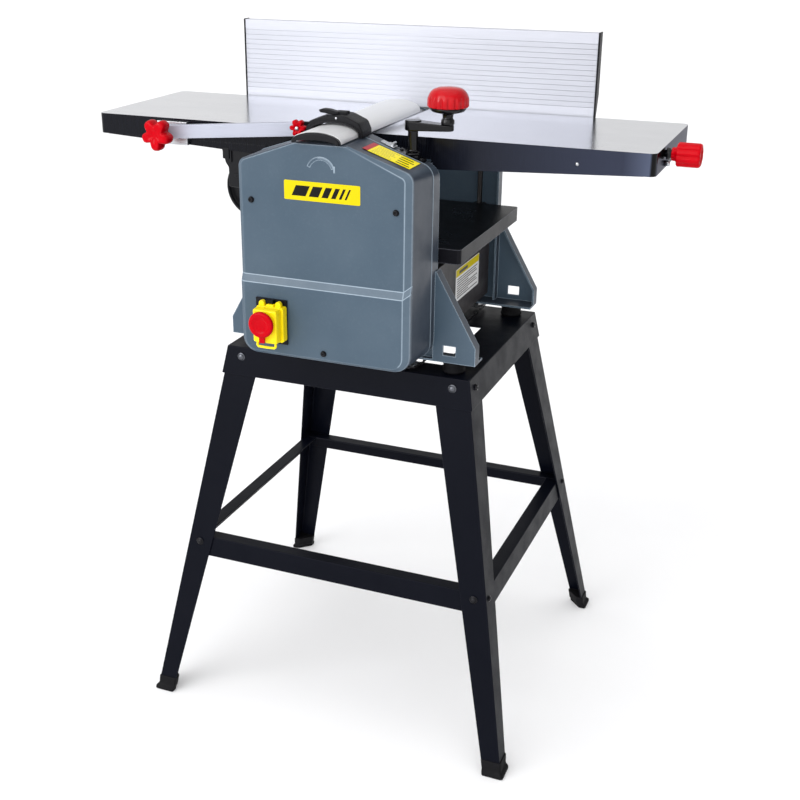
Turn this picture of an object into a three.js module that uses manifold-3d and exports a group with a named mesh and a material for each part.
// A combined surface planer and thicknesser (a small jointer) on an open steel stand.
// Millimetres, +Z up. +X runs along the tables towards the infeed end, +Y away from the operator.
// Everything is drawn from the axis of the cutterhead, x = 0 and y = 0, with the floor at z = 0. At the
// end the whole machine is moved so that the origin is the bottom centre of its bounding box.
import * as THREE from "three";
import { mergeVertices } from "three/addons/utils/BufferGeometryUtils.js";
import Module from "manifold-3d";

const wasm = await Module();
wasm.setup();

// ---------------------------------------------------------------- driving dimensions
const GAP = 0.3; // air between two separate pieces that rest on each other
const RUN = 0.6; // air round a part that turns or slides
const ROUND = 24; // facets of a round piece

const BODY_X = 7; // the casing and the side frames are centred here
const CUTTER = { z: 945, radius: 25, body: 23.5, halfLength: 127, shaft: 9 };
const ROLLER = { x: 50, z: 930, radius: 11, shaft: 4, halfLength: 122 };

const TABLE = { top: 970, plate: 8, depth: 32, wall: 3.5, front: -130, back: 134, corner: 10 };
const OUTFEED = { from: -452, to: -30 };
const INFEED = { from: 30, to: 448 };

const STAND = { x: 3, halfX: 206, halfY: 181, top: 621.5, splay: 112, sheet: 2.5, skirt: 46 };
const STAND_OPENING = { halfX: 145, front: -131, back: 66 };
const LEG = { wide: 57, narrow: 30, inset: 2.9, end: 4 };
const BRACE = { low: 259, high: 292, flange: 23, inset: 5.9 };
const STAND_FOOT = { height: 26, spread: 4.5 };

const FRAME = { low: 640, front: -168.5, floor: -160, back: -157, seam: -184, sheet: 3 };
const REAR = { plate: 168, outer: 172, flangeFront: 153, halfWidth: 135, top: 934 };
const WING = { root: 137.5, tip: 205.5, low: 640, shoulder: 668, apex: 781, depth: 18.5 };
const WING_HOLE = { near: 154.3, far: 174.3, low: 651.5, high: 667 };
const MOUNT_FOOT = { x: 167, y: 151, radius: 18 };

const COVER = { left: -132, right: 146, low: 648, wall: 2.5, front: -257.5, bulge: -262 };
const RIDGE = { low: 760, high: 772 };
const PEAK = { left: -28, right: 41, z: 973.5 };
const SLOPE = { leftZ: 942, rightZ: 932.5 };

const BASE = { left: -116, right: 130, front: -156.7, back: 152, low: 655, high: 768, wall: 3 };
const MOTOR = { x: 7, z: 708, radius: 46, front: -150, back: 50, shaft: 7 };
const PULLEY = { front: -222, back: -206, cutter: 20, motor: 32, belt: 4 };

const THICKNESSER = { left: -164, right: 178, front: -149, back: 152, top: 811.5, plate: 8, depth: 22.5 };
const SCREW = { x: 107, frontY: -166, rearY: 159, radius: 4.5, low: 624.5, sprocket: 14 };
const RAIL = { x: -93, halfWidth: 6, low: 770, high: 926 };

const CRANK = { armTop: 1000, reach: 52, hub: 8, hubLow: 955.3, knobRadius: 30, knobTop: 1049 };

const GUARD = { half: 37, low: 976, spring: 981, crown: 997, wall: 2.5, front: -262, back: 50 };
const HOLDER = { front: -202, back: -166, half: 46, crown: 1008 };
const ARM = { pivotX: -316, pivotZ: 951, tilt: 4.9, length: 262, half: 10.4, front: -150, back: -141 };
const LOCK = { x: -73, z: 977 };

const FENCE = { left: -320, right: 297.5, face: 136.5, low: 969, high: 1098.4, thick: 15.5, toe: 5 };
const FENCE_PIVOT = { y: 150, z: 960 };

const SWITCH = { x: -77.5, z: 704.7, halfX: 25.5, halfZ: 34.7, plateFront: -265.3, blockFront: -272 };
const HOOD = { left: -240, right: -172, halfY: 125, low: 898, high: 932, wall: 2.5 };
const PORT = { x: -227, z: 846, radius: 50, front: -30, back: 60 };

// ---------------------------------------------------------------- materials
const steel = (color, roughness, metalness) => new THREE.MeshStandardMaterial({ color, roughness, metalness });
const MATERIAL = {
  black: steel(0x1d1f26, 0.45, 0.3),
  casing: steel(0x5d6f7e, 0.4, 0.4),
  table: steel(0xc9cacd, 0.3, 0.8),
  aluminium: steel(0xd9dce2, 0.35, 0.8),
  steel: steel(0x8d9094, 0.35, 0.9),
  rubber: steel(0x141416, 0.85, 0),
  blackPlastic: steel(0x202226, 0.55, 0),
  red: steel(0xd3142c, 0.35, 0),
  yellow: steel(0xf3df1f, 0.4, 0),
  green: steel(0x1f9a3c, 0.4, 0),
  motor: steel(0x3a3c40, 0.6, 0.2),
};

// ---------------------------------------------------------------- shape helpers
/** A closed geometry as a solid for joining and cutting. */
function toSolid(geometry) {
  const bare = geometry.clone();
  bare.deleteAttribute("normal");
  bare.deleteAttribute("uv");
  const merged = mergeVertices(bare.index ? bare.toNonIndexed() : bare, 1e-4);
  return new wasm.Manifold(
    new wasm.Mesh({
      numProp: 3,
      vertProperties: new Float32Array(merged.attributes.position.array),
      triVerts: new Uint32Array(merged.index.array),
    }),
  );
}

/** A solid as a geometry that a mesh can show. */
function toGeometry(solid) {
  const mesh = solid.getMesh();
  const geometry = new THREE.BufferGeometry();
  geometry.setAttribute("position", new THREE.BufferAttribute(mesh.vertProperties, 3));
  geometry.setIndex(new THREE.BufferAttribute(mesh.triVerts, 1));
  geometry.computeVertexNormals();
  return geometry;
}

const join = (...geometries) => toGeometry(geometries.map(toSolid).reduce((all, next) => all.add(next)));
const cut = (geometry, ...tools) =>
  toGeometry(tools.map(toSolid).reduce((left, tool) => left.subtract(tool), toSolid(geometry)));
const common = (a, b) => toGeometry(toSolid(a).intersect(toSolid(b)));

/** A box between two corners. */
function block([x0, y0, z0], [x1, y1, z1]) {
  const geometry = new THREE.BoxGeometry(x1 - x0, y1 - y0, z1 - z0);
  return geometry.translate((x0 + x1) / 2, (y0 + y1) / 2, (z0 + z1) / 2);
}

/** A round bar along an axis: `at` is its place across the axis, in X, Y, Z order. */
function bar(axis, radius, at, from, to, facets = ROUND) {
  const geometry = new THREE.CylinderGeometry(radius, radius, to - from, facets);
  const middle = (from + to) / 2;
  if (axis === "x") return geometry.rotateZ(Math.PI / 2).translate(middle, at[0], at[1]);
  if (axis === "y") return geometry.translate(at[0], middle, at[1]);
  return geometry.rotateX(Math.PI / 2).translate(at[0], at[1], middle);
}

/** An outline in the XZ plane, made `from` to `to` along Y. */
function slabY(points, from, to, hole) {
  const shape = new THREE.Shape(points.map(([x, z]) => new THREE.Vector2(x, z)));
  if (hole) shape.holes.push(new THREE.Path(hole.map(([x, z]) => new THREE.Vector2(x, z))));
  const geometry = new THREE.ExtrudeGeometry(shape, { depth: to - from, bevelEnabled: false });
  return geometry.rotateX(Math.PI / 2).translate(0, to, 0);
}

/** An outline in the YZ plane, made `from` to `to` along X. */
function slabX(points, from, to, hole) {
  const shape = new THREE.Shape(points.map(([y, z]) => new THREE.Vector2(y, z)));
  if (hole) shape.holes.push(new THREE.Path(hole.map(([y, z]) => new THREE.Vector2(y, z))));
  const geometry = new THREE.ExtrudeGeometry(shape, { depth: to - from, bevelEnabled: false });
  const turn = new THREE.Matrix4().makeBasis(
    new THREE.Vector3(0, 1, 0),
    new THREE.Vector3(0, 0, 1),
    new THREE.Vector3(1, 0, 0),
  );
  return geometry.applyMatrix4(turn).translate(from, 0, 0);
}

/** An outline in the XY plane, made `from` to `to` along Z. */
function slabZ(points, from, to, hole) {
  const shape = new THREE.Shape(points.map(([x, y]) => new THREE.Vector2(x, y)));
  if (hole) shape.holes.push(new THREE.Path(hole.map(([x, y]) => new THREE.Vector2(x, y))));
  const geometry = new THREE.ExtrudeGeometry(shape, { depth: to - from, bevelEnabled: false });
  return geometry.translate(0, 0, from);
}

/** A solid between two outlines of as many points at two heights. */
function loft(lower, lowZ, upper, highZ) {
  const count = lower.length;
  const flat = lower.map(([x, y]) => new THREE.Vector2(x, y));
  const turned = THREE.ShapeUtils.isClockWise(flat);
  const low = turned ? [...lower].reverse() : lower;
  const high = turned ? [...upper].reverse() : upper;
  const positions = [
    ...low.flatMap(([x, y]) => [x, y, lowZ]),
    ...high.flatMap(([x, y]) => [x, y, highZ]),
  ];
  const index = [];
  for (let i = 0; i < count; i++) {
    const j = (i + 1) % count;
    index.push(i, j, count + j, i, count + j, count + i);
  }
  const cap = THREE.ShapeUtils.triangulateShape(low.map(([x, y]) => new THREE.Vector2(x, y)), []);
  for (const [a, b, c] of cap) {
    index.push(a, c, b, count + a, count + b, count + c);
  }
  const geometry = new THREE.BufferGeometry();
  geometry.setAttribute("position", new THREE.Float32BufferAttribute(positions, 3));
  geometry.setIndex(index);
  return geometry;
}

/** Corners [x, z, radius], anticlockwise, as an outline with rounded corners. */
function rounded(corners, steps = 4) {
  const points = [];
  corners.forEach(([x, z, radius = 0], i) => {
    const before = corners[(i + corners.length - 1) % corners.length];
    const after = corners[(i + 1) % corners.length];
    const corner = new THREE.Vector2(x, z);
    const back = new THREE.Vector2(before[0] - x, before[1] - z).normalize();
    const on = new THREE.Vector2(after[0] - x, after[1] - z).normalize();
    const half = Math.acos(THREE.MathUtils.clamp(back.dot(on), -1, 1)) / 2;
    if (radius <= 0) {
      points.push([x, z]);
      return;
    }
    const reach = radius / Math.tan(half);
    const start = corner.clone().addScaledVector(back, reach);
    const end = corner.clone().addScaledVector(on, reach);
    const toCentre = back.clone().add(on).normalize().multiplyScalar(radius / Math.sin(half));
    const centre = corner.clone().add(toCentre);
    const a0 = start.clone().sub(centre).angle();
    let sweep = end.clone().sub(centre).angle() - a0;
    if (sweep > Math.PI) sweep -= 2 * Math.PI;
    if (sweep < -Math.PI) sweep += 2 * Math.PI;
    for (let step = 0; step <= steps; step++) {
      const angle = a0 + (sweep * step) / steps;
      points.push([centre.x + radius * Math.cos(angle), centre.y + radius * Math.sin(angle)]);
    }
  });
  return points;
}

/** The same corners moved inwards by a wall's thickness. */
function inset(corners, wall) {
  const count = corners.length;
  const edges = corners.map(([x, z], i) => {
    const [nx, nz] = corners[(i + 1) % count];
    const along = new THREE.Vector2(nx - x, nz - z).normalize();
    const inward = new THREE.Vector2(-along.y, along.x);
    return { point: new THREE.Vector2(x, z).addScaledVector(inward, wall), along };
  });
  return corners.map(([, , radius = 0], i) => {
    const a = edges[(i + count - 1) % count];
    const b = edges[i];
    const cross = a.along.x * b.along.y - a.along.y * b.along.x;
    const gap = b.point.clone().sub(a.point);
    const t = (gap.x * b.along.y - gap.y * b.along.x) / cross;
    return [a.point.x + a.along.x * t, a.point.y + a.along.y * t, Math.max(radius - wall, 0.5)];
  });
}

/** A star or lobed outline round a centre. */
function lobed(x, z, radius, depth, lobes, phase, points = 40) {
  return Array.from({ length: points }, (_, i) => {
    const angle = (2 * Math.PI * i) / points;
    const reach = radius - depth + depth * Math.cos(lobes * (angle - phase));
    return [x + reach * Math.cos(angle), z + reach * Math.sin(angle)];
  });
}

/** The outline of a belt or chain round two wheels, as a hoop. */
function hoop(a, radiusA, b, radiusB, steps = 12) {
  const dx = b[0] - a[0];
  const dz = b[1] - a[1];
  const line = Math.atan2(dz, dx);
  const lean = Math.acos((radiusA - radiusB) / Math.hypot(dx, dz));
  const arc = (centre, radius, from, to) =>
    Array.from({ length: steps + 1 }, (_, i) => {
      const angle = from + ((to - from) * i) / steps;
      return [centre[0] + radius * Math.cos(angle), centre[1] + radius * Math.sin(angle)];
    });
  return [
    ...arc(a, radiusA, line + lean, line + 2 * Math.PI - lean),
    ...arc(b, radiusB, line - lean, line + lean),
  ];
}

const mirrorX = (points, centre) => points.map(([x, z, ...rest]) => [2 * centre - x, z, ...rest]).reverse();

// ---------------------------------------------------------------- the assembly
const machine = new THREE.Group();

function add(name, geometry, material) {
  const mesh = new THREE.Mesh(geometry, material);
  mesh.name = name;
  machine.add(mesh);
}

// ---------------------------------------------------------------- stand
const CORNERS = [
  ["front_left", -1, -1],
  ["front_right", 1, -1],
  ["rear_left", -1, 1],
  ["rear_right", 1, 1],
];

/** Half the stand's width or depth at a height. */
const reachX = (z) => STAND.halfX + (STAND.splay * (STAND.top - z)) / STAND.top;
const reachY = (z) => STAND.halfY + (STAND.splay * (STAND.top - z)) / STAND.top;
const standRectangle = (z, wall) => [
  [STAND.x - reachX(z) + wall, -reachY(z) + wall],
  [STAND.x + reachX(z) - wall, -reachY(z) + wall],
  [STAND.x + reachX(z) - wall, reachY(z) - wall],
  [STAND.x - reachX(z) + wall, reachY(z) - wall],
];

function standTop() {
  const low = STAND.top - STAND.skirt;
  const under = STAND.top - STAND.sheet;
  const outside = loft(standRectangle(low, 0), low, standRectangle(STAND.top, 0), STAND.top);
  const inside = loft(standRectangle(low - 5, STAND.sheet), low - 5, standRectangle(under, STAND.sheet), under);
  const opening = block(
    [STAND.x - STAND_OPENING.halfX, STAND_OPENING.front, low],
    [STAND.x + STAND_OPENING.halfX, STAND_OPENING.back, STAND.top + 5],
  );
  return cut(outside, inside, opening);
}

/** The leg's angle section at a height, grown outwards by `spread` on all sides. */
function legSection(sideX, sideY, z, spread = 0) {
  const x = STAND.x + sideX * (reachX(z) - LEG.inset + spread);
  const y = sideY * (reachY(z) - LEG.inset + spread);
  const share = z / (STAND.top - STAND.skirt);
  const width = LEG.narrow + (LEG.wide - LEG.narrow) * share + 2 * spread;
  const thick = STAND.sheet + 2 * spread;
  return [
    [x, y],
    [x - sideX * width, y],
    [x - sideX * width, y - sideY * thick],
    [x - sideX * thick, y - sideY * thick],
    [x - sideX * thick, y - sideY * width],
    [x, y - sideY * width],
  ];
}

function standLeg(sideX, sideY) {
  const top = STAND.top - STAND.sheet - GAP;
  return loft(legSection(sideX, sideY, LEG.end), LEG.end, legSection(sideX, sideY, top), top);
}

function standFoot(sideX, sideY) {
  const { height, spread } = STAND_FOOT;
  const base = legSection(sideX, sideY, 0, spread);
  const shell = loft(base, 0, legSection(sideX, sideY, height, spread - 1.2), height);
  const web = slabZ(
    sideX * sideY > 0 ? [base[0], base[1], base[5]] : [base[0], base[5], base[1]],
    0,
    LEG.end - 2 * GAP,
  );
  const socket = loft(
    legSection(sideX, sideY, LEG.end - GAP, GAP),
    LEG.end - GAP,
    legSection(sideX, sideY, height + 1, GAP),
    height + 1,
  );
  return cut(join(shell, web), socket);
}

/** The angle-iron brace's section: an upright flange that leans with the legs, and a level one on top. */
function braceSection(reach, side) {
  const { low, high, flange, inset: inside } = BRACE;
  const under = high - STAND.sheet;
  const face = (z) => side * (reach(z) - inside);
  const points = [
    [face(low), low],
    [face(high), high],
    [face(high) - side * flange, high],
    [face(high) - side * flange, under],
    [face(under) - side * STAND.sheet, under],
    [face(low) - side * STAND.sheet, low],
  ];
  return side > 0 ? points : points.reverse();
}

function addStand() {
  add("stand_top", standTop(), MATERIAL.black);
  for (const [place, sideX, sideY] of CORNERS) {
    add("stand_leg_" + place, standLeg(sideX, sideY), MATERIAL.black);
    add("stand_foot_" + place, standFoot(sideX, sideY), MATERIAL.rubber);
  }
  const longHalf = reachX(BRACE.high) - BRACE.inset - GAP;
  const shortHalf = reachY(BRACE.high) - BRACE.inset - BRACE.flange - 2 * GAP;
  for (const [place, side] of [["front", -1], ["rear", 1]]) {
    const brace = slabX(braceSection(reachY, side), STAND.x - longHalf, STAND.x + longHalf);
    add("stand_brace_" + place, brace, MATERIAL.black);
  }
  for (const [place, side] of [["left", -1], ["right", 1]]) {
    const brace = slabY(braceSection(reachX, side), -shortHalf, shortHalf).translate(STAND.x, 0, 0);
    add("stand_brace_" + place, brace, MATERIAL.black);
  }
  for (const [place, sideX, sideY] of CORNERS) {
    const at = [BODY_X + sideX * MOUNT_FOOT.x, sideY * MOUNT_FOOT.y];
    const foot = bar("z", MOUNT_FOOT.radius, at, STAND.top + GAP, FRAME.low - GAP);
    add("rubber_mount_" + place, foot, MATERIAL.rubber);
  }
}

// ---------------------------------------------------------------- side frames and casing
/** The casing's outline, anticlockwise: flat bottom, upright sides, two roof slopes and a flat peak. */
const CASING = [
  [COVER.left, COVER.low, 24],
  [COVER.right, COVER.low, 26],
  [COVER.right, SLOPE.rightZ, 22],
  [PEAK.right, PEAK.z, 10],
  [PEAK.left, PEAK.z, 10],
  [COVER.left, SLOPE.leftZ, 14],
];
const roofZ = (x) => PEAK.z + ((SLOPE.rightZ - PEAK.z) * (x - PEAK.right)) / (COVER.right - PEAK.right);

/** A triangular foot wing with folded edges. `face` is its outer face, `fold` the edge of its flanges. */
function wing(side, face, fold) {
  const { root, tip, low, shoulder, apex } = WING;
  const sheet = FRAME.sheet;
  const place = (points) => {
    const right = points.map(([x, z]) => [BODY_X + x, z]);
    return side > 0 ? right : mirrorX(right, BODY_X);
  };
  const outline = [[root, low], [tip, low], [tip, shoulder], [root + 3.5, apex], [root, apex]];
  const lean = new THREE.Vector2(root + 3.5 - tip, apex - shoulder).normalize();
  const inward = [-lean.y * sheet, lean.x * sheet];
  const slope = [
    [tip, shoulder],
    [root + 3.5, apex],
    [root + 3.5 + inward[0], apex + inward[1]],
    [tip + inward[0], shoulder + inward[1]],
  ];
  const inner = face < fold ? face + sheet : face - sheet;
  const plate = slabY(place(outline), Math.min(face, inner), Math.max(face, inner));
  const near = Math.min(face, fold);
  const far = Math.max(face, fold);
  const edges = [
    slabY(place(slope), near, far),
    slabY(place([[tip - sheet, low], [tip, low], [tip, shoulder], [tip - sheet, shoulder]]), near, far),
  ];
  const hole = slabY(
    place([
      [WING_HOLE.near, WING_HOLE.low],
      [WING_HOLE.far, WING_HOLE.low],
      [WING_HOLE.far, WING_HOLE.high],
      [WING_HOLE.near, WING_HOLE.high],
    ]),
    face - 10,
    face + 10,
  );
  return join(cut(plate, hole), ...edges);
}

/** The ledges that the two tables stand on, either side of the cutterhead. */
function tableLedges(nearY, farY) {
  const outfeedTop = TABLE.top - TABLE.depth - GAP;
  const infeedTop = outfeedTop - 4;
  return [
    block([-125, nearY, outfeedTop - FRAME.sheet], [-62, farY, outfeedTop]),
    block([62, nearY, infeedTop - FRAME.sheet], [125, farY, infeedTop]),
  ];
}

function frontSideFrame() {
  const { low, front, floor, back, seam, sheet } = FRAME;
  const pan = cut(
    slabY(rounded(CASING), seam, back),
    slabY(rounded(inset(CASING, sheet)), seam - 5, floor),
  );
  const skirt = block([COVER.left, floor, low], [COVER.right, back, 700]);
  const ledge = block([BODY_X - WING.tip, front, low], [BODY_X + WING.tip, MOUNT_FOOT.radius - MOUNT_FOOT.y, low + sheet]);
  const rollerBosses = [-1, 1].map((side) => bar("y", 8, [side * ROLLER.x, ROLLER.z], back - 1, back + 8));
  const cutterBoss = bar("y", 21, [0, CUTTER.z], back - 1, -144);
  const rail = block([RAIL.x - RAIL.halfWidth, back - 1, RAIL.low], [RAIL.x + RAIL.halfWidth, -147.6, RAIL.high]);
  const wings = [-1, 1].map((side) => wing(side, front, front + WING.depth));
  const body = join(pan, skirt, ledge, ...wings, ...rollerBosses, cutterBoss, rail, ...tableLedges(back - 1, -122));
  const bores = [
    ...[-1, 1].map((side) => bar("y", ROLLER.shaft + RUN, [side * ROLLER.x, ROLLER.z], back + 1, back + 10)),
    bar("y", 18 + GAP, [0, CUTTER.z], back, -140),
    bar("y", 12, [0, CUTTER.z], floor - 5, back + 1),
    bar("y", 12, [MOTOR.x, MOTOR.z], floor - 5, back + 5),
    bar("z", SCREW.radius + 1, [SCREW.x, SCREW.frontY], low - 5, COVER.low + 8),
    bar("z", 7, [SCREW.x, SCREW.frontY], 925, 960),
    block([SCREW.x - 12, floor - 5, 770], [SCREW.x + 12, back + 5, 926]),
  ];
  return cut(body, ...bores);
}

function rearSideFrame() {
  const { low, sheet } = FRAME;
  const { plate, outer, flangeFront, halfWidth, top } = REAR;
  const column = block([BODY_X - halfWidth, plate, low], [BODY_X + halfWidth, outer, top]);
  const flanges = [-1, 1].map((side) => {
    const edge = BODY_X + side * halfWidth;
    const inner = edge - side * sheet;
    return block([Math.min(edge, inner), flangeFront, low], [Math.max(edge, inner), outer, top - 5]);
  });
  const ledge = block([BODY_X - WING.tip, MOUNT_FOOT.y - MOUNT_FOOT.radius, low], [BODY_X + WING.tip, outer, low + sheet]);
  const wings = [-1, 1].map((side) => wing(side, outer, outer - WING.depth));
  const roots = [-1, 1].map((side) => {
    const edge = BODY_X + side * halfWidth;
    const inner = edge + side * (WING.root - halfWidth + 1);
    return block([Math.min(edge, inner), outer - sheet, low], [Math.max(edge, inner), outer, WING.apex - 8]);
  });
  const rollerBosses = [-1, 1].map((side) => bar("y", 8, [side * ROLLER.x, ROLLER.z], 160, plate + 1));
  const cutterBoss = bar("y", 21, [0, CUTTER.z], 149, outer);
  const rail = block([RAIL.x - RAIL.halfWidth, 150.2, RAIL.low], [RAIL.x + RAIL.halfWidth, plate + 1, RAIL.high]);
  const gearCase = block([-62, outer - 1, 880], [62, 192, 938]);
  const body = join(
    column,
    ...flanges,
    ledge,
    ...wings,
    ...roots,
    ...rollerBosses,
    cutterBoss,
    rail,
    gearCase,
    ...tableLedges(124, outer),
  );
  const bores = [
    ...[-1, 1].map((side) => bar("y", ROLLER.shaft + RUN, [side * ROLLER.x, ROLLER.z], 158, 166)),
    bar("y", 18 + GAP, [0, CUTTER.z], 140, 162),
    bar("y", 12, [0, CUTTER.z], 150, 166),
    bar("z", SCREW.radius + 1, [SCREW.x, SCREW.rearY], low - 5, low + 8),
  ];
  return cut(body, ...bores);
}

function baseHousing() {
  const { left, right, front, back, low, high, wall } = BASE;
  return cut(
    block([left, front, low], [right, back, high]),
    block([left + wall, front + wall, low - 5], [right - wall, back - wall, high - wall]),
    bar("y", 12, [MOTOR.x, MOTOR.z], front - 5, front + 10),
  );
}

/** The sheet cover over the belt drive: its lower part stands a little proud below a ridge. */
function driveCover() {
  const open = FRAME.seam - GAP;
  const stepped = (wall) =>
    slabX(
      [
        [open + 5, COVER.low - 5],
        [open + 5, PEAK.z + 5],
        [COVER.front + wall, PEAK.z + 5],
        [COVER.front + wall, RIDGE.high],
        [COVER.bulge + wall, RIDGE.low],
        [COVER.bulge + wall, COVER.low - 5],
      ].reverse(),
      COVER.left - 5,
      COVER.right + 5,
    );
  const outside = common(slabY(rounded(CASING), COVER.bulge, open), stepped(0));
  const inside = common(slabY(rounded(inset(CASING, COVER.wall)), COVER.bulge, open + 5), stepped(COVER.wall));
  const window_ = block(
    [SWITCH.x - 21.5, COVER.bulge - 5, SWITCH.z - 30.5],
    [SWITCH.x + 21.5, COVER.bulge + 10, SWITCH.z + 30.5],
  );
  return cut(outside, inside, window_);
}

function addCasing() {
  add("front_side_frame", frontSideFrame(), MATERIAL.casing);
  add("rear_side_frame", rearSideFrame(), MATERIAL.casing);
  add("base_housing", baseHousing(), MATERIAL.black);
  add("drive_cover", driveCover(), MATERIAL.casing);
}

// ---------------------------------------------------------------- motor, belt, cutterhead and feed rollers
function motorBody() {
  const at = [MOTOR.x, MOTOR.z];
  const feet = [-1, 1].map((side) =>
    block([MOTOR.x + side * 34 - 8, -110, MOTOR.z - 49], [MOTOR.x + side * 34 + 8, 10, MOTOR.z - 28]),
  );
  return join(
    bar("y", MOTOR.radius, at, MOTOR.front, MOTOR.back),
    bar("y", MOTOR.shaft, at, PULLEY.front - 4, MOTOR.front + 1),
    ...feet,
  );
}

function pulley(at, radius, bore) {
  return cut(
    join(
      bar("y", radius, at, PULLEY.front, PULLEY.back),
      bar("y", bore + 5, at, PULLEY.back - 1, PULLEY.back + 6),
    ),
    bar("y", bore, at, PULLEY.front - 5, PULLEY.back + 10),
  );
}

function driveBelt() {
  const inner = [PULLEY.cutter + RUN, PULLEY.motor + RUN];
  const top = [0, CUTTER.z];
  const low = [MOTOR.x, MOTOR.z];
  return slabY(
    hoop(top, inner[0] + PULLEY.belt, low, inner[1] + PULLEY.belt),
    PULLEY.front + 2,
    PULLEY.back - 2,
    hoop(top, inner[0], low, inner[1]),
  );
}

function cutterhead() {
  const at = [0, CUTTER.z];
  const slots = [-1, 1].map((side) => {
    const deep = CUTTER.z + side * 6;
    const open = CUTTER.z + side * 30;
    return block(
      [-1.9, -CUTTER.halfLength - 1, Math.min(deep, open)],
      [1.9, CUTTER.halfLength + 1, Math.max(deep, open)],
    );
  });
  const drum = cut(bar("y", CUTTER.body, at, -CUTTER.halfLength, CUTTER.halfLength, 32), ...slots);
  return join(
    drum,
    bar("y", CUTTER.shaft, at, PULLEY.front - 4, -CUTTER.halfLength + 1),
    bar("y", CUTTER.shaft, at, CUTTER.halfLength - 1, 161),
  );
}

function knife(side) {
  const deep = CUTTER.z + side * 6.4;
  const edge = CUTTER.z + side * (CUTTER.radius - 0.1);
  const half = CUTTER.halfLength - 1.5;
  return block([-1.5, -half, Math.min(deep, edge)], [1.5, half, Math.max(deep, edge)]);
}

function bearing(from, to) {
  const at = [0, CUTTER.z];
  return cut(bar("y", 18, at, from, to), bar("y", CUTTER.shaft + GAP, at, from - 5, to + 5));
}

function feedRoller(x) {
  const at = [x, ROLLER.z];
  return join(
    bar("y", ROLLER.radius, at, -ROLLER.halfLength, ROLLER.halfLength, 16),
    bar("y", ROLLER.shaft, at, -155, 165, 16),
  );
}

function addDrive() {
  add("motor", motorBody(), MATERIAL.motor);
  add("motor_pulley", pulley([MOTOR.x, MOTOR.z], PULLEY.motor, MOTOR.shaft + GAP), MATERIAL.steel);
  add("cutterhead_pulley", pulley([0, CUTTER.z], PULLEY.cutter, CUTTER.shaft + GAP), MATERIAL.steel);
  add("drive_belt", driveBelt(), MATERIAL.rubber);
  add("cutterhead", cutterhead(), MATERIAL.steel);
  add("knife_a", knife(1), MATERIAL.steel);
  add("knife_b", knife(-1), MATERIAL.steel);
  add("bearing_front", bearing(-156.5, -145.5), MATERIAL.steel);
  add("bearing_rear", bearing(150, 161), MATERIAL.steel);
  add("feed_roller_left", feedRoller(-ROLLER.x), MATERIAL.steel);
  add("feed_roller_right", feedRoller(ROLLER.x), MATERIAL.steel);
}

// ---------------------------------------------------------------- switch
const BUTTONS = {
  start: { low: 717, high: 727.5, halfX: 8.5 },
  stop: { low: 697, high: 714, halfX: 10.5 },
};
const BUTTON_FRONT = -275;
const BUTTON_BACK = -266;
const FLAP = { halfX: 21.5, low: 676, high: 733, front: -296, wall: 2, hingeZ: 736.5, hingeY: -270 };
const MUSHROOM = { radius: 19, front: -306, back: -299, stem: 6, z: 706 };

function buttonBlock({ low, high, halfX }, from, to, grow) {
  return block([SWITCH.x - halfX - grow, from, low - grow], [SWITCH.x + halfX + grow, to, high + grow]);
}

function switchBase() {
  const { x, z, halfX, halfZ, plateFront, blockFront } = SWITCH;
  const plateBack = COVER.bulge - GAP;
  const body = join(
    block([x - halfX, plateFront, z - halfZ], [x + halfX, plateBack, z + halfZ]),
    block([x - 20.5, plateBack - 1, z - 29.5], [x + 20.5, -235, z + 29.5]),
    block([x - 16.5, blockFront, 682], [x + 16.5, plateFront + 1, 729.4]),
    block([x - 6, -272.2, 734.3], [x + 6, plateFront + 1, 739.2]),
  );
  const pockets = Object.values(BUTTONS).map((button) => buttonBlock(button, blockFront - 5, -262.6, 0.5));
  return cut(body, ...pockets);
}

function switchFlap() {
  const { x } = SWITCH;
  const { halfX, low, high, front, wall } = FLAP;
  const back = -266;
  const shell = cut(
    block([x - halfX, front, low], [x + halfX, back, high]),
    block([x - halfX + wall, front + wall, low + wall], [x + halfX - wall, back + 5, high - wall]),
    bar("y", MUSHROOM.stem + RUN, [x, MUSHROOM.z], front - 5, front + 10),
  );
  const lugs = [-1, 1].map((side) => block([x + side * 12 - 5, -274, high - 1], [x + side * 12 + 5, -266.5, 739.5]));
  return join(shell, ...lugs);
}

function stopMushroom() {
  const at = [SWITCH.x, MUSHROOM.z];
  return join(
    bar("y", MUSHROOM.radius, at, MUSHROOM.front, MUSHROOM.back, 32),
    bar("y", MUSHROOM.stem, at, MUSHROOM.back - 1, BUTTON_FRONT - 0.4),
  );
}

function addSwitch() {
  add("switch_base", switchBase(), MATERIAL.blackPlastic);
  add("switch_flap", switchFlap(), MATERIAL.yellow);
  add("stop_mushroom", stopMushroom(), MATERIAL.red);
  add("start_button", buttonBlock(BUTTONS.start, BUTTON_FRONT, BUTTON_BACK, 0), MATERIAL.green);
  add("stop_button", buttonBlock(BUTTONS.stop, BUTTON_FRONT, BUTTON_BACK, 0), MATERIAL.red);
}

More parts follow.
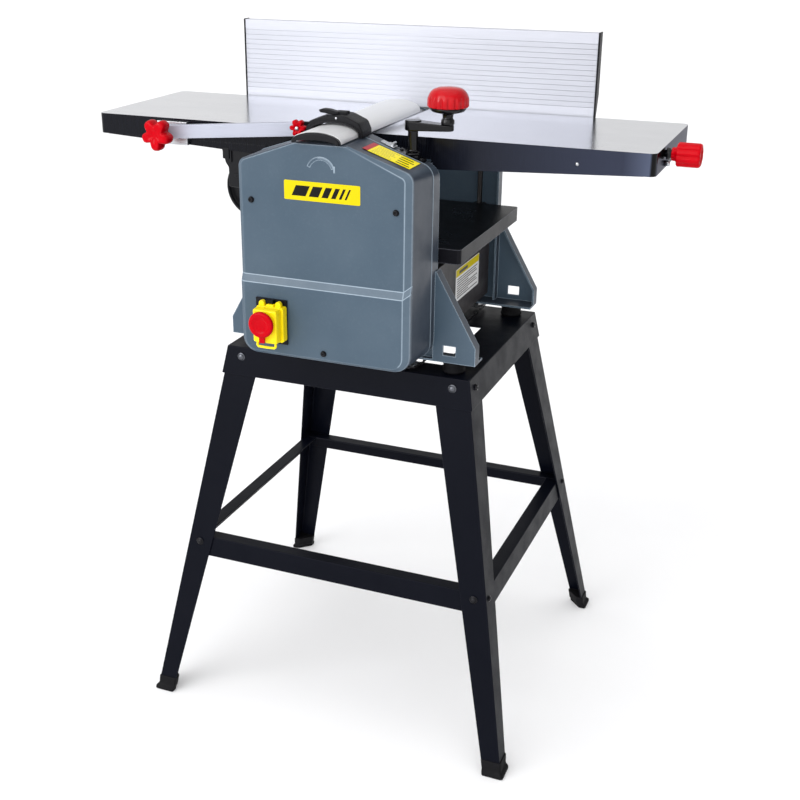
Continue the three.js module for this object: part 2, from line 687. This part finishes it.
// ---------------------------------------------------------------- thicknessing table and its lift
function thicknessTable() {
  const { left, right, front, back, top, plate, depth } = THICKNESSER;
  const low = top - depth;
  const outline = rounded([[left, front, 6], [right, front, 6], [right, back, 6], [left, back, 6]], 3);
  const pocket = block([left + 5, front + 5, low - 5], [right - 5, back - 5, top - plate]);
  const lugs = [
    block([SCREW.x - 10, SCREW.frontY - 11, low], [SCREW.x + 10, front + 8, top - 1]),
    block([SCREW.x - 10, back - 8, low], [SCREW.x + 10, SCREW.rearY + 7.5, top - 1]),
  ];
  const notch = RAIL.halfWidth + 1;
  const holes = [
    bar("z", SCREW.radius + RUN, [SCREW.x, SCREW.frontY], low - 5, top + 5),
    bar("z", SCREW.radius + RUN, [SCREW.x, SCREW.rearY], low - 5, top + 5),
    block([RAIL.x - notch, front - 5, low - 5], [RAIL.x + notch, -146.8, top + 5]),
    block([RAIL.x - notch, 149.4, low - 5], [RAIL.x + notch, back + 5, top + 5]),
  ];
  return cut(join(cut(slabZ(outline, low, top), pocket), ...lugs), ...holes);
}

function leadScrew(y, top) {
  const at = [SCREW.x, y];
  return join(
    bar("z", SCREW.radius, at, SCREW.low, top),
    bar("z", SCREW.sprocket, at, 626.5, 631.5),
  );
}

function liftChain() {
  const front = [SCREW.x, SCREW.frontY];
  const rear = [SCREW.x, SCREW.rearY];
  const inner = SCREW.sprocket + RUN;
  return slabZ(hoop(front, inner + 3, rear, inner + 3), 627.2, 630.8, hoop(front, inner, rear, inner));
}

/** The bearing plate that sits on the casing's right-hand roof slope. */
function crankBracket() {
  const from = 88;
  const to = 126;
  const at = [SCREW.x, SCREW.frontY];
  const plate = slabY(
    [
      [from, roofZ(from) + GAP],
      [to, roofZ(to) + GAP],
      [to, roofZ(to) + 3],
      [from, roofZ(from) + 3],
    ],
    -182,
    -158,
  );
  const under = slabY(
    [
      [70, 880],
      [150, 880],
      [150, roofZ(150) + GAP],
      [70, roofZ(70) + GAP],
    ],
    -200,
    -140,
  );
  const boss = cut(bar("z", 10.5, at, 930, 954), under);
  return cut(join(plate, boss), bar("z", SCREW.radius + RUN, at, 900, 980));
}

function crankArm() {
  const at = [SCREW.x, SCREW.frontY];
  const tip = [SCREW.x + CRANK.reach, SCREW.frontY];
  const plan = slabZ(hoop(at, 11, tip, 9, 10), 980, CRANK.armTop);
  const side = slabY(
    [
      [SCREW.x - 12, 986],
      [SCREW.x + 10, 986],
      [tip[0] + 12, 992],
      [tip[0] + 12, CRANK.armTop + 1],
      [SCREW.x - 12, CRANK.armTop + 1],
    ],
    SCREW.frontY - 15,
    SCREW.frontY + 15,
  );
  const hub = bar("z", CRANK.hub, at, CRANK.hubLow, 988);
  return cut(join(common(plan, side), hub), bar("z", SCREW.radius + GAP, at, CRANK.hubLow - 5, 992));
}

/** A palm knob turned on its own spindle. */
function crankKnob() {
  const { knobRadius: wide, knobTop: top } = CRANK;
  const low = CRANK.armTop + GAP;
  const profile = [
    [0, low],
    [8.5, low],
    [6.5, low + 5],
    [8.5, low + 9],
    [22, low + 10],
    [26, low + 16],
    [wide, low + 18],
    [wide, top - 15],
    [wide - 4, top - 5],
    [wide - 12, top],
    [0, top],
  ];
  const lathe = new THREE.LatheGeometry(profile.map(([r, z]) => new THREE.Vector2(r, z)), ROUND);
  return lathe.rotateX(Math.PI / 2).translate(SCREW.x + CRANK.reach, SCREW.frontY, 0);
}

function addLift() {
  add("thickness_table", thicknessTable(), MATERIAL.black);
  add("lead_screw_front", leadScrew(SCREW.frontY, 985), MATERIAL.steel);
  add("lead_screw_rear", leadScrew(SCREW.rearY, 918), MATERIAL.steel);
  add("lift_chain", liftChain(), MATERIAL.steel);
  add("crank_bracket", crankBracket(), MATERIAL.blackPlastic);
  add("crank_arm", crankArm(), MATERIAL.blackPlastic);
  add("crank_knob", crankKnob(), MATERIAL.red);
}

// ---------------------------------------------------------------- tables
/** A flanged table plate, open towards the cutterhead. */
function tablePlate({ from, to }) {
  const { top, plate, depth, wall, front, back, corner } = TABLE;
  const outer = to > 0 ? to : from;
  const sharp = 0.5;
  const radius = (x) => (x === outer ? corner : sharp);
  const outline = rounded(
    [[from, front, radius(from)], [to, front, radius(to)], [to, back, radius(to)], [from, back, radius(from)]],
    4,
  );
  const pocketFrom = to > 0 ? from - 5 : from + wall;
  const pocketTo = to > 0 ? to - wall : to + 5;
  return cut(
    slabZ(outline, top - depth, top),
    block([pocketFrom, front + wall, top - depth - 5], [pocketTo, back - wall, top - plate]),
  );
}

const INFEED_KNOB = { y: -61, z: 959, radius: 18, from: 464, to: 498 };

function infeedTable() {
  const { y, z } = INFEED_KNOB;
  return cut(tablePlate(INFEED), bar("x", 5 + RUN, [y, z], INFEED.to - 14, INFEED.to + 5));
}

/** A fluted hand knob with its spindle. */
function infeedKnob() {
  const { y, z, radius, from, to } = INFEED_KNOB;
  return join(
    slabX(lobed(y, z, radius, 0.8, 10, 0), from, to),
    bar("x", 5, [y, z], INFEED.to - 12, from + 1),
  );
}

function addTables() {
  add("outfeed_table", tablePlate(OUTFEED), MATERIAL.table);
  add("infeed_table", infeedTable(), MATERIAL.table);
  add("infeed_knob", infeedKnob(), MATERIAL.red);
}

// ---------------------------------------------------------------- cutterhead guard
/** The bridge-shaped section of the guard, grown by `grow`, from spring line to spring line. */
function guardArch(grow, steps = 12) {
  const half = GUARD.half + grow;
  const rise = GUARD.crown - GUARD.spring + grow;
  return Array.from({ length: steps + 1 }, (_, i) => {
    const angle = (Math.PI * i) / steps;
    const bow = Math.sin(angle);
    return [half * Math.cos(angle), GUARD.spring + rise * bow];
  });
}

function guardProfile() {
  const outer = guardArch(0);
  const inner = guardArch(-GUARD.wall);
  const outline = [
    [GUARD.half, GUARD.low],
    ...outer,
    [-GUARD.half, GUARD.low],
    [-GUARD.half + GUARD.wall, GUARD.low],
    ...inner.reverse(),
    [GUARD.half - GUARD.wall, GUARD.low],
  ];
  return slabY(outline, GUARD.front, GUARD.back);
}

function guardEndCap() {
  const outline = [[GUARD.half, GUARD.low], ...guardArch(0), [-GUARD.half, GUARD.low]];
  return slabY(outline, GUARD.front - 8, GUARD.front - GAP);
}

function guardHolder() {
  const clear = 1;
  const { front, back, half, crown } = HOLDER;
  const steps = 12;
  const outer = Array.from({ length: steps + 1 }, (_, i) => {
    const angle = (Math.PI * i) / steps;
    return [half * Math.cos(angle), 984 + (crown - 984) * Math.sin(angle)];
  });
  const ring = [
    [half, 975.5],
    ...outer,
    [-half, 975.5],
    [-GUARD.half - clear, 975.5],
    ...guardArch(clear).reverse(),
    [GUARD.half + clear, 975.5],
  ];
  const tongue = block([-88, -156.4, 963], [-50, ARM.front - GAP, 990]);
  const arm = block([-56, -175, 975.5], [-GUARD.half - clear, -155, 990]);
  const bridge = cut(
    join(slabY(ring, front, back), tongue, arm),
    slabY([[GUARD.half + clear, 960], ...guardArch(clear), [-GUARD.half - clear, 960]], -250, -100),
  );
  return cut(bridge, bar("y", 3.6, [LOCK.x, LOCK.z], -170, -140));
}

function guardArm() {
  const { pivotX, pivotZ, tilt, length, half, front, back } = ARM;
  const pivot = [pivotX, pivotZ];
  const lean = THREE.MathUtils.degToRad(tilt);
  const end = [pivotX + length * Math.cos(lean), pivotZ + length * Math.sin(lean)];
  return cut(
    slabY(hoop(pivot, half, end, half, 8), front, back),
    bar("y", 5 + RUN, pivot, front - 5, back + 5),
    bar("y", 3.6, [LOCK.x, LOCK.z], front - 5, back + 5),
  );
}

function guardBracket() {
  const { pivotX, pivotZ } = ARM;
  const back = TABLE.front - GAP;
  const plate = slabY(
    [[-338, 938], [-330, 930], [-284, 930], [-284, 966], [-338, 966]],
    back - 7,
    back,
  );
  return join(plate, bar("y", 5, [pivotX, pivotZ], -163, back - 1));
}

function addGuard() {
  add("guard_bracket", guardBracket(), MATERIAL.steel);
  add("guard_arm", guardArm(), MATERIAL.aluminium);
  const star = cut(
    slabY(lobed(ARM.pivotX, ARM.pivotZ, 25, 4.5, 5, -Math.PI / 2), -174, ARM.front - GAP),
    bar("y", 5 + RUN, [ARM.pivotX, ARM.pivotZ], -164, -140),
  );
  add("guard_arm_knob", star, MATERIAL.red);
  add("guard_holder", guardHolder(), MATERIAL.blackPlastic);
  const lock = join(
    slabY(lobed(LOCK.x, LOCK.z, 13, 2.6, 6, 0), -176, -159),
    bar("y", 3, [LOCK.x, LOCK.z], -160, ARM.back - 1),
  );
  add("guard_lock_knob", lock, MATERIAL.red);
  add("guard_profile", guardProfile(), MATERIAL.aluminium);
  add("guard_end_cap", guardEndCap(), MATERIAL.blackPlastic);
}

// ---------------------------------------------------------------- fence
/** The fence's section: a flat face, a box behind it, and a toe that tapers to the table. */
function fenceSection(grow) {
  const { face, low, high, thick, toe } = FENCE;
  return [
    [face - grow, low],
    [face + toe + grow, low],
    [face + thick + grow, 1003],
    [face + thick + grow, high + grow],
    [face - grow, high + grow],
  ];
}

const EAR = { x: 97, half: 3, lug: 90, lugHalf: 3.5 };

function fence() {
  const wall = 2.5;
  const { left, right, face, low, high, thick, toe } = FENCE;
  const hollow = [
    [face + wall, low + 8],
    [face + toe - 1, low + 8],
    [face + thick - wall, 1005],
    [face + thick - wall, high - wall],
    [face + wall, high - wall],
  ];
  const box = slabX(fenceSection(0), left, right, hollow);
  const lugs = [-1, 1].map((side) =>
    slabX(
      [[141.2, 974], [143, 955], [150, 951.5], [157, 955], [157.5, 964], [153.2, 1003], [151, 1003]],
      side * EAR.lug - EAR.lugHalf,
      side * EAR.lug + EAR.lugHalf,
    ),
  );
  const holes = [-1, 1].map((side) =>
    bar("x", 4 + RUN, [FENCE_PIVOT.y, FENCE_PIVOT.z], side * EAR.lug - 8, side * EAR.lug + 8),
  );
  const inside = slabX(hollow, left - 5, right + 5);
  return cut(join(box, ...lugs.map((lug) => cut(lug, inside))), ...holes);
}

function fenceBracket() {
  const near = REAR.outer + GAP;
  const far = near + 4;
  const feet = [[-100, -64], [64, 100]].map(([from, to]) => block([from, near, 890], [to, far, 965]));
  const beam = block([-100, near, 942], [100, far, 965]);
  const ears = [-1, 1].map((side) =>
    slabX(
      [[144, 952], [far, 946], [far, 965], [150, 967], [144, 965]],
      side * EAR.x - EAR.half,
      side * EAR.x + EAR.half,
    ),
  );
  const pins = [-1, 1].map((side) => {
    const inner = side * (EAR.lug - EAR.lugHalf - 1);
    const outer = side * EAR.x;
    return bar("x", 4, [FENCE_PIVOT.y, FENCE_PIVOT.z], Math.min(inner, outer), Math.max(inner, outer), 16);
  });
  return join(...feet, beam, ...ears, ...pins);
}

function fenceLever() {
  const from = EAR.x + EAR.half + GAP;
  const at = [FENCE_PIVOT.y, FENCE_PIVOT.z];
  return join(
    bar("x", 8, at, from, from + 10, 16),
    slabX(
      [[150, 953.5], [188, 951], [191, 954.5], [188, 958], [150, 966.5]],
      from + 2,
      from + 9,
    ),
  );
}

function addFence() {
  const { left, right } = FENCE;
  add("fence", fence(), MATERIAL.aluminium);
  add("fence_cap_left", slabX(fenceSection(1), left - 3, left - GAP), MATERIAL.blackPlastic);
  add("fence_cap_right", slabX(fenceSection(1), right + GAP, right + 3), MATERIAL.blackPlastic);
  add("fence_bracket", fenceBracket(), MATERIAL.black);
  add("fence_lock_lever", fenceLever(), MATERIAL.blackPlastic);
}

// ---------------------------------------------------------------- chip hood
function dustHood() {
  const { left, right, halfY, low, high, wall } = HOOD;
  const { x, z, radius, front, back } = PORT;
  const tray = block([left, -halfY, low], [right, halfY, high]);
  const neck = block([x - 36, front + 10, z], [x + 30, back - 5, low + 5]);
  const tube = bar("y", radius, [x, z], front, back, 32);
  const rim = block([left - 6, -halfY - 3, high - 1], [right, halfY + 3, high + 3]);
  const inside = join(
    block([left + wall, -halfY + wall, low + wall], [right + 5, halfY - wall, high - wall]),
    block([x - 36 + wall, front + 10 + wall, z], [x + 30 - wall, back - 5 - wall, low + 6]),
    bar("y", radius - wall, [x, z], front - 5, back - wall, 32),
  );
  return cut(join(tray, neck, tube, rim), inside);
}

// ---------------------------------------------------------------- everything
addStand();
addCasing();
addDrive();
addSwitch();
addLift();
addTables();
addGuard();
addFence();
add("dust_hood", dustHood(), MATERIAL.blackPlastic);

const middle = new THREE.Box3().setFromObject(machine).getCenter(new THREE.Vector3());
machine.position.set(-middle.x, -middle.y, 0);
const group = new THREE.Group();
group.add(machine);

export default group;
